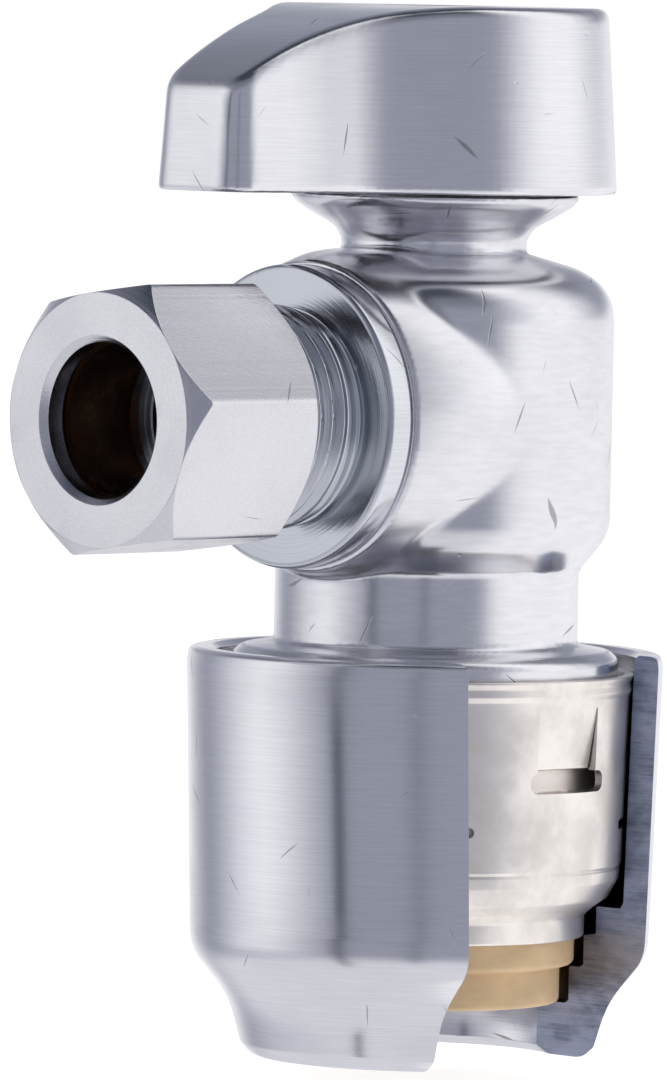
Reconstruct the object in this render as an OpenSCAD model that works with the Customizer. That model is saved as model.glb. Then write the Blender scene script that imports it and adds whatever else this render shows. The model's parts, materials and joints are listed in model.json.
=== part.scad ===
// Quarter-turn angle stop valve: push-fit pipe inlet at the bottom, compression outlet at the side.
// Frame: +Z runs up the inlet and stem axis, the outlet points along -Y, and the origin is the
// centre of the pipe entry, in the plane of the release collar's outer end.

/* [Pipe inlet] */
// Outside diameter of the pipe that pushes in
pipe_od = 15.875; // [15.825:0.025:15.875]
// Depth from the pipe entry to the pipe stop
insert_depth = 24; // [23.5:0.25:24.5]
// How far the collar and the sleeve slide
release_travel = 1.5; // [1.0:0.1:1.5]

/* [Release sleeve] */
// Height of the sleeve's top edge above the pipe entry
sleeve_top = 22.35; // [22:0.05:22.5]
// Depth of the sleeve's bottom edge below the pipe entry
sleeve_foot = 3.7; // [3.4:0.1:4]
// Radius of the sleeve's outside at the top
sleeve_r = 15.2; // [15.1:0.05:15.4]
// Half width of the cut-out that shows the inside
cutout_half_w = 8.1; // [7.6:0.1:8.2]

/* [Retaining cap] */
// Radius of the cap's flared rim
cap_rim_r = 13.36; // [13.3:0.02:13.36]
// Number of lanced windows round the cap
cap_windows = 4; // [2:1:4]

/* [Body] */
// Height of the outlet axis
outlet_z = 37.4; // [37.2:0.1:37.6]
// Radius of the barrel round the ball
barrel_r = 11.6; // [11.4:0.1:11.8]
// Radius of the lower neck
lower_neck_r = 9.7; // [9.6:0.05:9.8]
// Radius of the upper neck under the handle
neck_r = 5.9; // [5.8:0.1:6.2]
// Radius of the flange under the handle
top_flange_r = 9.15; // [9:0.05:9.2]

/* [Ball and stem] */
// Radius of the ball
ball_r = 6; // [5.9:0.05:6]
// Radius of the ball's ports
port_r = 3.6; // [3.2:0.1:3.6]
// Radius of the stem
stem_r = 3; // [2.9:0.05:3]

/* [Compression outlet] */
// Outside diameter of the outlet tube
tube_od = 9.525; // [9.475:0.025:9.525]
// Outside diameter of the outlet thread
thread_od = 14.28; // [14.2:0.02:14.3]
// Threads to the inch
threads_per_inch = 24; // [24:1:24]
// Distance across the flats of the nut
nut_across_flats = 15.875; // [15.8:0.025:16]
// Length of the nut
nut_length = 11.35; // [11.2:0.05:11.5]
// Angle of the nut's first corner above the horizontal
nut_corner_angle = 9; // [0:1:59]

/* [Handle] */
// Height of the handle
handle_height = 11.8; // [11.5:0.1:12]
// Radius of the round end at the bottom
handle_r = 11.65; // [11.5:0.05:11.8]
// Reach of the pointed end from the stem axis
handle_reach = 21.75; // [21.25:0.25:22]

/* [Hidden] */

$fn = 96;
eps = 0.05;              // how far a cutter runs past the face that it opens
run_fit = 0.05;          // radial clearance of a running fit

// Inlet stack, from the pipe entry up
pipe_clearance_r = 0.11;
socket_r = pipe_od / 2 + pipe_clearance_r;
collar_step_z = 2.45;
collar_lower_r = 9;
collar_upper_r = 9.9;
collar_flange_r = 10.9;
collar_flange_z = 8.4;
collar_flange_t = 0.7;
collar_nose_r = 8.9;
collar_nose_z = 10.6;
cap_wall = 0.5;
cap_lip_r = 10.5;
cap_lip_z = 4.25;
cap_rim_z = 21.1;
ring_z = 9.98;           // underside of the grab ring
ring_t = 0.4;
skirt_z = 12.9;          // end of the body's pipe socket
seal_pocket_r = 10.25;
seal_pocket_z = 15.85;
seal_wire_r = 1.19;

// Valve chamber and stem
chamber_r = 6.4;
chamber_front = 7.6;     // the chamber's mouth, on the outlet side
chamber_back = 7;
stem_bore_r = stem_r + run_fit;
stem_roof_z = outlet_z + 8;
body_top_z = outlet_z + 14.1;
stem_ring_wire_r = 0.47;
stem_ring_z = [outlet_z + 9.2, outlet_z + 11.6];
drive_flat = 2.2;        // half the distance across the stem's two drive flats
drive_z = body_top_z + 0.7;
stem_top_z = body_top_z + 7.1;

// Outlet, measured along its axis from the inlet axis
thread_r = thread_od / 2;
pitch = 25.4 / threads_per_inch;
boss_face = 11.2;
boss_r = 9.75;           // at the boss's face; it swells towards the barrel
boss_root_r = 11.15;
boss_root = 7;
boss_half_height = 10.4;
flange_face = 13.2;
flange_r = 9.6;
spigot_r = 7.45;
thread_start = 14.2;
nipple_end = 23.2;
nut_face = 29.35;
nut_back = nut_face - nut_length;
tube_hole_r = tube_od / 2 + 0.0975;
nut_chamfer = 1.2;

// Handle
handle_z = body_top_z + 0.1;
handle_top_z = handle_z + handle_height;
handle_wall = 1.6;
handle_boss_r = 5;
screw_seat_z = handle_top_z - 2.8;
screw_r = 1.45;

// A point on a circle of radius r about [cx, cy]
function on_arc(cx, cy, r, a) = [cx + r * cos(a), cy + r * sin(a)];
function arc(cx, cy, r, a0, a1, n = 6) = [for (i = [0:n]) on_arc(cx, cy, r, a0 + (a1 - a0) * i / n)];

module ring(outer_r, inner_r, low_z, high_z) {
    translate([0, 0, low_z]) difference() {
        cylinder(h = high_z - low_z, r = outer_r);
        translate([0, 0, -eps]) cylinder(h = high_z - low_z + 2 * eps, r = inner_r);
    }
}

module o_ring(centre_r, wire_r) {
    rotate_extrude() translate([centre_r, 0]) circle(r = wire_r);
}

// Puts its children on the outlet axis, with their +Z pointing out of the outlet
module along_outlet() {
    translate([0, 0, outlet_z]) rotate([90, 0, 0]) children();
}

// ---- Body ----

// Outside of the body, turned about the stem axis
module body_outline() {
    polygon(concat(
        [[0, skirt_z], [12.2, skirt_z], [12.2, 13.9], [11.3, 13.9], [11.3, 19.9], [12.2, 19.9], [12.2, 21.15]],
        arc(11.65, 21.75, 0.8, -35, 75, 5),
        [[lower_neck_r, 22.9], [lower_neck_r, 27.8], [10.25, 28.6], [11.15, 29.5]],
        [[barrel_r - 0.12, 30.1], [barrel_r, 30.8], [barrel_r, 43.8]],
        [[11.4, 44.9], [10.65, 45.9], [10.1, 46.4], [9.15, 46.9], [7.4, 47.4]],
        [[neck_r, 47.8], [neck_r, 48.6], [6.3, 49.2], [7.2, 49.7], [8.3, 50.25]],
        [[8.9, 50.8], [top_flange_r, 51.2], [top_flange_r, body_top_z], [0, body_top_z]]));
}

// Side boss that swells from its face back to the barrel; its face stops just short of the nipple's flange
module boss() {
    swell = boss_root_r - boss_r;
    along_outlet() intersection() {
        rotate_extrude() polygon(concat(
            [[0, 0], [boss_root_r, 0]],
            [for (a = [0:15:75]) [boss_r + swell * cos(a), boss_root + (boss_face - 0.3 - boss_root) * sin(a)]],
            [[boss_r, boss_face - 0.3], [boss_r - 0.25, boss_face - 0.02], [0, boss_face - 0.02]]));
        translate([-boss_root_r - 1, -boss_half_height, 0]) cube([2 * boss_root_r + 2, 2 * boss_half_height, boss_face]);
    }
}

// Quarter-turn stop between the handle's two ribs
module stop_lug() {
    translate([0, 0, body_top_z - eps]) rotate([0, 0, 62]) rotate_extrude(angle = 56)
        translate([6, 0]) square([2.6, 1.7 + eps]);
}

module valve_body() {
    color("#b8bac6") difference() {
        union() {
            rotate_extrude() body_outline();
            boss();
            stop_lug();
        }
        translate([0, 0, skirt_z - eps]) cylinder(h = seal_pocket_z - skirt_z + eps, r = seal_pocket_r);
        translate([0, 0, skirt_z]) cylinder(h = insert_depth - skirt_z, r = socket_r);
        translate([0, 0, insert_depth - eps]) cylinder(h = outlet_z - insert_depth, r = 5);
        along_outlet() translate([0, 0, -chamber_back]) cylinder(h = chamber_back + chamber_front, r = chamber_r);
        along_outlet() translate([0, 0, chamber_front]) cylinder(h = boss_face, r = spigot_r + run_fit);
        translate([0, 0, outlet_z]) cylinder(h = stem_roof_z - outlet_z, r = 4.3);
        translate([0, 0, outlet_z]) cylinder(h = body_top_z - outlet_z + 3, r = stem_bore_r);
    }
}

// ---- Ball, seats and stem ----

module ball() {
    slot_half_w = 1.05;
    slot_depth = 2;
    color("#c9cbd2") translate([0, 0, outlet_z]) difference() {
        sphere(r = ball_r);
        translate([0, 0, -ball_r - eps]) cylinder(h = ball_r + 2, r = port_r - 0.1);
        rotate([90, 0, 0]) translate([0, 0, -1.5]) cylinder(h = ball_r + 2, r = port_r);
        translate([-slot_half_w, -ball_r, ball_r - slot_depth]) cube([2 * slot_half_w, 2 * ball_r, slot_depth + 1]);
    }
}

// A seat ring that lies against the ball, with its flat face away from the ball
module ball_seat(far_face, bore_r) {
    seat_near = 3.9;
    difference() {
        translate([0, 0, seat_near]) cylinder(h = far_face - seat_near, r = chamber_r - 0.15);
        cylinder(h = far_face + 1, r = bore_r);
        sphere(r = ball_r + 0.03);
    }
}

module outlet_ball_seat() {
    color("#f0efe9") along_outlet() ball_seat(chamber_front - 0.02, port_r + 0.1);
}

module rear_ball_seat() {
    color("#f0efe9") along_outlet() mirror([0, 0, 1]) ball_seat(chamber_back - 0.02, 2.5);
}

module stem() {
    flange_z = stem_roof_z - 1.5;
    flange_t = 0.95;
    blade_z = outlet_z + ball_r - 1.85;
    color("#cbb46a") difference() {
        union() {
            translate([-0.95, -2.8, blade_z]) cube([1.9, 5.6, flange_z - blade_z + 0.2]);
            translate([0, 0, flange_z]) cylinder(h = flange_t, r = 4.1);
            translate([0, 0, flange_z]) cylinder(h = drive_z - flange_z, r = stem_r);
            intersection() {
                translate([0, 0, drive_z - eps]) cylinder(h = stem_top_z - drive_z + eps, r = stem_r);
                translate([-drive_flat, -5, drive_z - eps]) cube([2 * drive_flat, 10, 10]);
            }
        }
        for (z = stem_ring_z) {
            ring(stem_r + 1, stem_r - 0.95, z - 0.55, z + 0.55);
        }
        translate([0, 0, stem_top_z - 7]) cylinder(h = 8, r = screw_r + run_fit);
    }
}

module stem_thrust_washer() {
    color("#f0efe9") ring(4.1, stem_r + run_fit, stem_roof_z - 0.5, stem_roof_z - 0.03);
}

module stem_o_ring(z) {
    color("#26262a") translate([0, 0, z]) o_ring(stem_r + 0.04 - stem_ring_wire_r, stem_ring_wire_r);
}

module stem_o_ring_lower() {
    stem_o_ring(stem_ring_z[0]);
}

module stem_o_ring_upper() {
    stem_o_ring(stem_ring_z[1]);
}

// ---- Handle ----

// Cross-section of the lever at one place along it, with drafted sides
module lever_section(y, half_w, low_z, high_z) {
    top_half_w = half_w - 0.068 * (high_z - low_z);
    translate([-half_w, y, low_z]) cube([2 * half_w, 0.6, 0.4]);
    translate([-top_half_w, y, low_z]) cube([2 * top_half_w, 0.6, high_z - low_z]);
}

// Teardrop block with hollow flanks that shrinks by inset all round; its top falls away towards the tip
module handle_block(inset, low_z, high_z) {
    waist_y = -10.5;
    waist_half_w = 6.7 - inset;
    waist_top_z = min(high_z, handle_z + handle_height - 0.6 - inset);
    hull() {
        translate([0, 0, low_z]) cylinder(h = high_z - low_z, r1 = handle_r - inset, r2 = handle_r - inset - 0.8, $fn = 48);
        lever_section(waist_y, waist_half_w, low_z, waist_top_z);
    }
    hull() {
        lever_section(waist_y, waist_half_w, low_z, waist_top_z);
        lever_section(-16.5, 4.9 - inset, low_z, handle_z + 9.25 - inset);
        lever_section(inset - handle_reach, 3.9 - inset, low_z, handle_z + 6.2 - inset);
    }
}

module handle() {
    roof_z = handle_top_z - 2;
    boss_z = handle_z + 0.35;
    color("#b8bac6") difference() {
        union() {
            difference() {
                handle_block(0, handle_z, handle_top_z);
                handle_block(handle_wall, handle_z - eps, roof_z);
            }
            translate([0, 0, boss_z]) cylinder(h = roof_z - boss_z + 0.5, r = handle_boss_r);
            for (a = [54, 216]) {
                rotate([0, 0, a]) translate([4, -0.6, boss_z]) cube([6, 1.2, roof_z - boss_z + 0.5]);
            }
        }
        intersection() {
            translate([0, 0, handle_z - 1]) cylinder(h = stem_top_z - handle_z + 1.2, r = stem_r + run_fit);
            translate([-drive_flat - run_fit, -5, handle_z - 1]) cube([2 * (drive_flat + run_fit), 10, 20]);
        }
        translate([0, 0, handle_z - 1]) cylinder(h = drive_z - handle_z + 1, r = stem_r + run_fit);
        translate([0, 0, handle_z]) cylinder(h = handle_height, r = 1.7);
        translate([0, 0, screw_seat_z]) cylinder(h = 4, r = 3.4);
    }
}

module handle_screw() {
    head_h = 1.7;
    color("#a9abb2") difference() {
        union() {
            translate([0, 0, stem_top_z - 6.5]) cylinder(h = screw_seat_z - stem_top_z + 6.6, r = screw_r);
            translate([0, 0, screw_seat_z]) cylinder(h = head_h * 0.6, r = 2.9);
            translate([0, 0, screw_seat_z + head_h * 0.6]) cylinder(h = head_h * 0.4, r1 = 2.9, r2 = 2.2);
        }
        for (a = [0, 90]) {
            rotate([0, 0, a]) translate([-1.5, -0.3, screw_seat_z + 0.5]) cube([3, 0.6, 2]);
        }
    }
}

// ---- Compression outlet ----

module outlet_nipple() {
    groove = [8.7, 10.1];
    color("#b8bac6") along_outlet() rotate_extrude() polygon([
        [port_r, chamber_front], [spigot_r - 0.3, chamber_front], [spigot_r, chamber_front + 0.3],
        [spigot_r, groove[0]], [spigot_r - 1.1, groove[0]], [spigot_r - 1.1, groove[1]], [spigot_r, groove[1]],
        [spigot_r, boss_face], [flange_r - 0.25, boss_face], [flange_r, boss_face + 0.25],
        [flange_r, flange_face - 0.35], [flange_r - 0.35, flange_face], [6.7, flange_face],
        [6.7, thread_start - 0.3], [thread_r, thread_start], [thread_r, nipple_end - 0.5], [thread_r - 0.5, nipple_end],
        [6.25, nipple_end], [4.95, nipple_end - 3.25], [tube_hole_r, nipple_end - 3.25], [tube_hole_r, 16.5],
        [port_r, 16.5]]);
}

module nipple_o_ring() {
    color("#26262a") along_outlet() translate([0, 0, 9.4]) o_ring(spigot_r - 0.55, 0.53);
}

module compression_nut() {
    cone_start = nut_face - 3.15;
    cone_end = nut_face - 1.6;
    half_flats = nut_across_flats / 2;
    corner_r = half_flats / cos(30);
    color("#b8bac6") along_outlet() difference() {
        intersection() {
            rotate([0, 0, nut_corner_angle]) translate([0, 0, nut_back]) cylinder(h = nut_length, r = corner_r, $fn = 6);
            rotate_extrude() polygon([
                [0, nut_back], [half_flats, nut_back], [half_flats + nut_chamfer * 1.1, nut_back + nut_chamfer * 1.1],
                [half_flats + nut_chamfer * 1.1, nut_face - nut_chamfer * 1.1], [half_flats, nut_face], [0, nut_face]]);
        }
        rotate_extrude() polygon([
            [0, nut_back - 1], [thread_r + 0.45, nut_back - 1], [thread_r + 0.45, nut_back],
            [thread_r + 0.06, nut_back + 0.4], [thread_r + 0.06, cone_start], [6.2, cone_start],
            [tube_hole_r, cone_end], [tube_hole_r, nut_face - 0.42], [tube_hole_r + 0.42, nut_face],
            [tube_hole_r + 0.42, nut_face + 1], [0, nut_face + 1]]);
    }
}

module ferrule() {
    nose = nut_face - 2.25;
    inner_r = tube_hole_r - 0.02;
    color("#b5924c") along_outlet() rotate_extrude() polygon([
        [inner_r, nose - 5.2], [5.1, nose - 5.2], [5.9, nose - 3.2], [5.9, nose - 1.1], [5.25, nose], [inner_r, nose]]);
}

// ---- Push-fit inlet ----

module pipe_o_ring() {
    color("#26262a") translate([0, 0, skirt_z + 0.3 + seal_wire_r])
        o_ring(seal_pocket_r - 0.03 - seal_wire_r, seal_wire_r);
}

module o_ring_protector() {
    low_z = ring_z + ring_t + 0.08;
    color("#d8d8d2") rotate_extrude() polygon([
        [10.6, low_z], [12.15, low_z], [12.15, skirt_z - 0.03], [seal_pocket_r - 0.05, skirt_z - 0.03],
        [seal_pocket_r - 0.05, skirt_z + 0.25], [socket_r + 0.3, skirt_z + 0.25], [socket_r + 0.3, skirt_z - 0.3]]);
}

// Stainless washer whose teeth lean inwards and up, so that the pipe can't pull out
module grab_ring() {
    teeth = 16;
    root_r = 10.3;
    tip_r = 7.84;
    lift = 1.77;
    color("#c2c2c4") difference() {
        union() {
            ring(12.15, root_r - 0.05, ring_z, ring_z + ring_t);
            rotate_extrude() polygon([
                [root_r, ring_z], [root_r, ring_z + ring_t], [tip_r, ring_z + ring_t + lift], [tip_r, ring_z + lift]]);
        }
        for (i = [0:teeth - 1]) {
            rotate([0, 0, 360 * i / teeth]) translate([tip_r - 1, -0.5, ring_z - 1]) cube([root_r - tip_r + 0.9, 1, 5]);
        }
    }
}

module grab_ring_holder() {
    color("#6f7278") union() {
        ring(12.1, 10.4, 9.3, ring_z - 0.03);
        ring(12, 11.2, 8.2, 9.3 + eps);
    }
}

function cap_side_r(z) = 12.77 + (z - 8.85) * 0.033;

module cap_section() {
    polygon([
        [cap_lip_r - cap_wall, cap_lip_z], [cap_lip_r, cap_lip_z], [cap_lip_r, 5.5], [10.87, 6.07], [11.48, 6.54],
        [12.1, 7.04], [12.54, 7.85], [12.77, 8.85], [cap_side_r(19.9), 19.9], [cap_rim_r - 0.08, 20.6],
        [cap_rim_r, cap_rim_z - 0.15], [cap_rim_r, cap_rim_z], [12.3, cap_rim_z], [12.3, 19.9], [12.27, 8.95],
        [12.06, 8.05], [11.75, 7.4], [11.2, 6.93], [10.6, 6.45], [cap_lip_r - cap_wall, 5.75]]);
}

// One window with the tongue above it, lanced inwards to hook into the body's groove
module cap_window_cut() {
    translate([11.7, -3.5, 14]) cube([3, 7, 1.4]);
    rotate([0, 0, -12.5]) rotate_extrude(angle = 25) translate([11.9, 15.3]) square([2, 4.3]);
}

module cap_tongue() {
    rotate([0, 0, -11.8]) rotate_extrude(angle = 23.6)
        polygon([[11.55, 15.5], [12.0, 15.4], [12.95, 19.6], [12.95, 19.8], [12.4, 19.8], [12.4, 19.6]]);
}

module retaining_cap() {
    color("#c9c2b8") union() {
        difference() {
            rotate_extrude() cap_section();
            for (i = [0:cap_windows - 1]) {
                rotate([0, 0, 360 * i / cap_windows]) cap_window_cut();
                rotate([0, 0, 360 * (i + 0.5) / cap_windows]) translate([11.7, -3.2, 11.3]) cube([3, 6.4, 0.5]);
            }
        }
        for (i = [0:cap_windows - 1]) {
            rotate([0, 0, 360 * i / cap_windows]) cap_tongue();
        }
    }
}

module release_collar() {
    flange_top = collar_flange_z + collar_flange_t;
    color("#c9a873") rotate_extrude() polygon([
        [socket_r, 0], [collar_lower_r - 0.3, 0], [collar_lower_r, 0.3], [collar_lower_r, collar_step_z],
        [collar_upper_r - 0.45, collar_step_z], [collar_upper_r, collar_step_z + 0.45], [collar_upper_r, collar_flange_z],
        [collar_flange_r, collar_flange_z], [collar_flange_r, flange_top], [collar_nose_r, flange_top],
        [collar_nose_r, collar_nose_z - 0.6], [socket_r + 0.35, collar_nose_z], [socket_r, collar_nose_z]]);
}

// Outside and stepped bore of the sleeve, turned about the inlet axis
module sleeve_section() {
    foot = -sleeve_foot;
    polygon(concat(
        [[8.6, foot + 0.4], [9, foot], [10.2, foot]],
        arc(10.15, foot + 1, 1, -80, -10, 4),
        [[11.49, foot + 1.4], [11.77, foot + 2.4], [12.13, foot + 3.35], [12.62, foot + 4.3], [13.3, foot + 5.25]],
        [[14.1, foot + 6.2], [14.48, foot + 6.85], [14.65, foot + 7.5]],
        [[sleeve_r, sleeve_top - 0.6], [sleeve_r - 0.15, sleeve_top - 0.15], [sleeve_r - 0.5, sleeve_top]],
        [[13.75, sleeve_top], [13.45, sleeve_top - 0.3], [13.05, 6.5], [12.8, 6.1], [11.3, 6.1], [11.3, 4.3]],
        [[10.6, 4.2], [10.6, 2.3], [10.4, 2.1], [9.85, 2.1], [9.85, -0.1], [9.65, -0.3], [8.9, -0.3], [8.6, -0.6]]));
}

// The side that is cut away to show the cap and the collar. Its front plane leans outwards a little at the top.
module sleeve_cutout() {
    front_y = -7.35;
    front_lean = 7.3;
    top_lean = 2.4;
    lean_z = 3.8;
    translate([2, 0, -30]) cube([25, cutout_half_w, 60]);
    translate([0, 0, lean_z]) rotate([top_lean, 0, 0]) linear_extrude(height = 60, center = true) polygon([
        [2, 3], [25, 3], [25, front_y - (25 - 7.35) * tan(front_lean)],
        [7.35, front_y], [2, front_y + 5.35 * tan(front_lean) + 1.5]]);
}

module release_sleeve() {
    color("#b8bac6") difference() {
        rotate_extrude() sleeve_section();
        sleeve_cutout();
    }
}

valve_body();
outlet_nipple();
nipple_o_ring();
outlet_ball_seat();
rear_ball_seat();
ball();
stem();
stem_thrust_washer();
stem_o_ring_upper();
stem_o_ring_lower();
handle();
handle_screw();
compression_nut();
ferrule();
pipe_o_ring();
o_ring_protector();
grab_ring();
grab_ring_holder();
retaining_cap();
release_collar();
release_sleeve();
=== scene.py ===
"""Looks of the quarter-turn angle stop valve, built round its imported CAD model.

Shapes are worked out in millimetres and turned into metres when a mesh is made. The frame is the
CAD's: +Z up the inlet and stem axis, and the outlet points along -Y.
"""

import json
import math

import bmesh
import bpy
import numpy as np
from mathutils import Matrix, Vector


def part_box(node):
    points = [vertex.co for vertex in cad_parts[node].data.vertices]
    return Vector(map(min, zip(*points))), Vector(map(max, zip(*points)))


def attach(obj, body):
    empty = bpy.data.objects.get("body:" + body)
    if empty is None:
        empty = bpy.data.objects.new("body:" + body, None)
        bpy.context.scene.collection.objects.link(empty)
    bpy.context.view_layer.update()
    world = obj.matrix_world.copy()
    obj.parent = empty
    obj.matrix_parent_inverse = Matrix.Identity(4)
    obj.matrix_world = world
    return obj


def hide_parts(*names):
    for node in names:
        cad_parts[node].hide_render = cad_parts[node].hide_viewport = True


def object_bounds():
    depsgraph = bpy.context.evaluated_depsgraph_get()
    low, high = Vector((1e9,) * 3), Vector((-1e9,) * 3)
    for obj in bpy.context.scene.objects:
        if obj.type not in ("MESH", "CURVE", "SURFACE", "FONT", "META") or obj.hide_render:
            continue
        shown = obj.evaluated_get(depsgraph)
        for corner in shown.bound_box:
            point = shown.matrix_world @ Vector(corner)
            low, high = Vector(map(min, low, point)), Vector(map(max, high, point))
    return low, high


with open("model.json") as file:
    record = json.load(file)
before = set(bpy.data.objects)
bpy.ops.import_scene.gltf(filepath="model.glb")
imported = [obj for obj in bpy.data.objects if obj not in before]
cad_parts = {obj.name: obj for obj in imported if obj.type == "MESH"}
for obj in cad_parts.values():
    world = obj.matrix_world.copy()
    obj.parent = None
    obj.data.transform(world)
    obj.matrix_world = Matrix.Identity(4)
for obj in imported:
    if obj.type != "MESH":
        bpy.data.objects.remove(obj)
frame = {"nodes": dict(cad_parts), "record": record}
cad_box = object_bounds()

MM = 0.001
RECORD = frame["record"]
TAU = 2 * math.pi


# ---- Sizes, in millimetres ----

def box_mm(node):
    """Lowest and highest corner of a CAD node."""
    low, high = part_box(node)
    return np.array(low) / MM, np.array(high) / MM


def mount(name):
    """The record's mount of this name."""
    return next(m for m in RECORD["mounts"] if m["name"] == name)


OUTLET_Z = mount("tube_outlet")["pos_m"][2] / MM
TUBE_R = mount("tube_outlet")["dims"]["r_mm"]
PIPE_R = mount("pipe_inlet")["dims"]["r_mm"]
BODY_LOW, BODY_HIGH = box_mm("valve_body")
NUT_LOW, NUT_HIGH = box_mm("compression_nut")
NIPPLE_LOW, NIPPLE_HIGH = box_mm("outlet_nipple")
HANDLE_LOW, HANDLE_HIGH = box_mm("handle")
CAP_LOW, CAP_HIGH = box_mm("retaining_cap")
SLEEVE_LOW, SLEEVE_HIGH = box_mm("release_sleeve")

BODY_TOP = HANDLE_LOW[2] - 0.1           # top of the flange under the handle
SKIRT_Z = BODY_LOW[2]
LOWER_NECK_R = 9.7
BARREL_R = 11.6
NECK_R = 5.9
BOSS_R = 9.75                            # at its face; it swells towards the barrel
BOSS_SWELL = 1.4
BOSS_CROWN = 4.0                         # distance from the stem axis at which it is widest
BOSS_FACE = -NIPPLE_HIGH[1] + 3.6        # the boss's flat end, from the stem axis
FLANGE_FACE = BOSS_FACE + 2
NIPPLE_END = -NIPPLE_LOW[1]
NUT_FACE = -NUT_LOW[1]
NUT_BACK = -NUT_HIGH[1]
HALF_FLATS = 15.875 / 2
THREAD_PITCH = 25.4 / 24
THREAD_R = 7.14
SKIRT_R = 12.2                           # flange of the pipe socket, held by the cap
CAVITY_R = 6.4                           # round the ball
SPIGOT_R = 7.45                          # the nipple's pressed end
STEM_HOLE_R = 3.05
PIPE_STOP_Z = 24


# ---- Outlines and meshes ----

def rounded(points, radius=0.12, segments=4):
    """The closed outline with every corner turned into an arc.

    A third number on a point is its own radius.
    """
    made = []
    count = len(points)
    for i, point in enumerate(points):
        here = np.array(point[:2], float)
        before = np.array(points[i - 1][:2], float) - here
        after = np.array(points[(i + 1) % count][:2], float) - here
        reach = 0.499 * min(np.linalg.norm(before), np.linalg.norm(after))
        wanted = point[2] if len(point) > 2 else radius
        if reach < 1e-6 or wanted <= 0:
            made.extend([here] * (segments + 1))
            continue
        before /= np.linalg.norm(before)
        after /= np.linalg.norm(after)
        half = math.acos(float(np.clip(before @ after, -1, 1))) / 2
        if half > math.pi / 2 - 1e-3:
            made.extend([here] * (segments + 1))
            continue
        tangent = min(wanted / math.tan(half), reach)
        start = here + before * tangent
        end = here + after * tangent
        centre = here + (before + after) / np.linalg.norm(before + after) * (tangent / math.cos(half))
        a, b = start - centre, end - centre
        sweep = math.acos(float(np.clip((a @ b) / (np.linalg.norm(a) * np.linalg.norm(b)), -1, 1)))
        for k in range(segments + 1):
            share = k / segments
            if sweep < 1e-6:
                made.append(start + (end - start) * share)
            else:
                turned = a * math.sin((1 - share) * sweep) + b * math.sin(share * sweep)
                made.append(centre + turned / math.sin(sweep))
    return np.array(made)


def upright(radius, angle, height):
    """Points at a radius, angle and height about the stem axis."""
    return np.stack([radius * np.cos(angle), radius * np.sin(angle), height + 0 * angle], -1)


def sideways(radius, angle, distance):
    """Points at a radius and angle about the outlet axis, at a distance from the stem axis."""
    return np.stack([radius * np.cos(angle), -distance + 0 * angle, OUTLET_Z + radius * np.sin(angle)], -1)


def grid_faces(columns, rows, around):
    """Four-sided faces between columns of points that each close on themselves."""
    i, j = np.meshgrid(np.arange(columns if around else columns - 1), np.arange(rows), indexing="ij")
    i2, j2 = (i + 1) % columns, (j + 1) % rows
    return np.stack([i * rows + j, i * rows + j2, i2 * rows + j2, i2 * rows + j], -1).reshape(-1, 4)


def grid_solid(columns, around=True):
    """Vertices and faces of a solid whose skin is a grid; an open one gets flat ends."""
    count, rows = columns.shape[:2]
    faces = grid_faces(count, rows, around).tolist()
    if not around:
        faces.append(list(range(rows)))
        faces.append(list(range((count - 1) * rows, count * rows))[::-1])
    return columns.reshape(-1, 3), faces


def lathe(outline, place, steps=256):
    """A turned solid from a closed outline of (radius, height) points."""
    angles = np.arange(steps) * TAU / steps
    columns = np.stack([place(outline[:, 0], np.full(len(outline), a), outline[:, 1]) for a in angles])
    return grid_solid(columns)


def make_object(name, vertices, faces, sharp=40):
    """A Blender object with clean, outward faces and smooth shading between its sharp edges."""
    mesh = bpy.data.meshes.new(name)
    mesh.from_pydata((np.asarray(vertices) * MM).tolist(), [], faces)
    made = bmesh.new()
    made.from_mesh(mesh)
    bmesh.ops.remove_doubles(made, verts=made.verts, dist=0.002 * MM)
    bmesh.ops.recalc_face_normals(made, faces=made.faces)
    made.to_mesh(mesh)
    made.free()
    mesh.validate()
    mesh.shade_smooth()
    mesh.set_sharp_from_angle(angle=math.radians(sharp))
    obj = bpy.data.objects.new(name, mesh)
    bpy.context.scene.collection.objects.link(obj)
    return obj


def weighted(obj):
    """Normals that follow the large faces, so that flats stay flat beside their small roundings."""
    modifier = obj.modifiers.new("normals", "WEIGHTED_NORMAL")
    modifier.keep_sharp = True
    return obj


def stand_for(obj, node, material):
    """The piece rides on the node's body, takes its slot and stands for it."""
    body = next(b for b, members in RECORD["behaviour"]["bodies"].items() if node in members)
    obj.data.materials.clear()
    obj.data.materials.append(material)
    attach(obj, body)
    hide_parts(node)
    return obj


# ---- Blended solids, from distance functions ----

class Outline:
    """Signed distance to a closed flat outline, negative inside."""

    def __init__(self, points):
        self.a = np.asarray(points, float)
        self.b = np.roll(self.a, -1, 0)
        keep = np.linalg.norm(self.b - self.a, axis=1) > 1e-9
        self.a, self.b = self.a[keep], self.b[keep]

    def __call__(self, x, y):
        shape = np.shape(x)
        p = np.stack([np.ravel(x), np.ravel(y)], -1)
        best = np.full(len(p), 1e9)
        inside = np.zeros(len(p), bool)
        for a, b in zip(self.a, self.b):
            edge = b - a
            t = np.clip(((p - a) @ edge) / (edge @ edge), 0, 1)
            gap = p - a - t[:, None] * edge
            best = np.minimum(best, np.einsum("ij,ij->i", gap, gap))
            crosses = (a[1] > p[:, 1]) != (b[1] > p[:, 1])
            if crosses.any():
                at = a[0] + (p[crosses, 1] - a[1]) * edge[0] / edge[1]
                inside[crosses] ^= p[crosses, 0] < at
        return (np.where(inside, -1, 1) * np.sqrt(best)).reshape(shape)


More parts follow.
